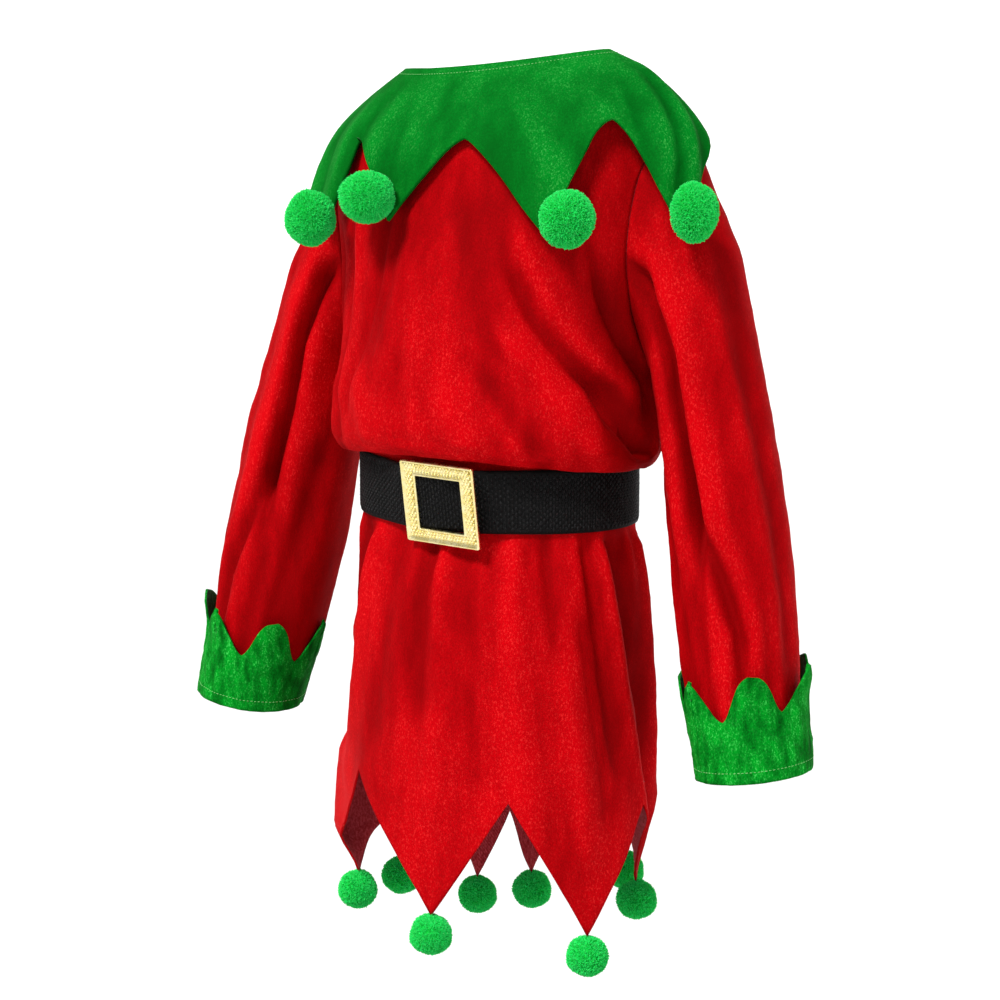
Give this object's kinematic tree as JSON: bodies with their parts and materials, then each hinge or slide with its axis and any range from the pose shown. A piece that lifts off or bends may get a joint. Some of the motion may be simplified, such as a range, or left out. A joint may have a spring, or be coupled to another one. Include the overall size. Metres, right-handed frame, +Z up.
{
  "type": "elf costume",
  "caption": "Worn elf costume: belted velvet tunic with pointed collar, cuffs and hem, pompoms and a square buckle; open at neck, cuffs and hem.",
  "frame": {"origin": "middle of the neck opening, where the wearer's shoulders carry the costume", "axes": "+Z up, the front faces -Y, +X towards the wearer's left"},
  "size_m": [0.568, 0.2601, 0.744],
  "materials": {
    "red_velvet": "short-pile velvet",
    "green_velvet": "short-pile velvet",
    "green_yarn": "fluffy yarn",
    "black_elastic": "ribbed elastic band",
    "gold_buckle": "embossed gold-plated"
  },
  "bodies": {
    "root": {"front": "red_velvet", "back": "red_velvet", "sleeve_left": "red_velvet", "sleeve_right": "red_velvet", "collar": "green_velvet", "cuff_left": "green_velvet", "cuff_right": "green_velvet", "belt": "black_elastic", "buckle": "gold_buckle", "pompom_collar_front_left": "green_yarn", "pompom_collar_left": "green_yarn", "pompom_collar_back_left": "green_yarn", "pompom_collar_back_right": "green_yarn", "pompom_collar_right": "green_yarn", "pompom_collar_front_right": "green_yarn", "pompom_hem_front": "green_yarn", "pompom_hem_front_left": "green_yarn", "pompom_hem_left": "green_yarn", "pompom_hem_back_left": "green_yarn", "pompom_hem_back": "green_yarn", "pompom_hem_back_right": "green_yarn", "pompom_hem_right": "green_yarn", "pompom_hem_front_right": "green_yarn"}
  },
  "joints": []
}
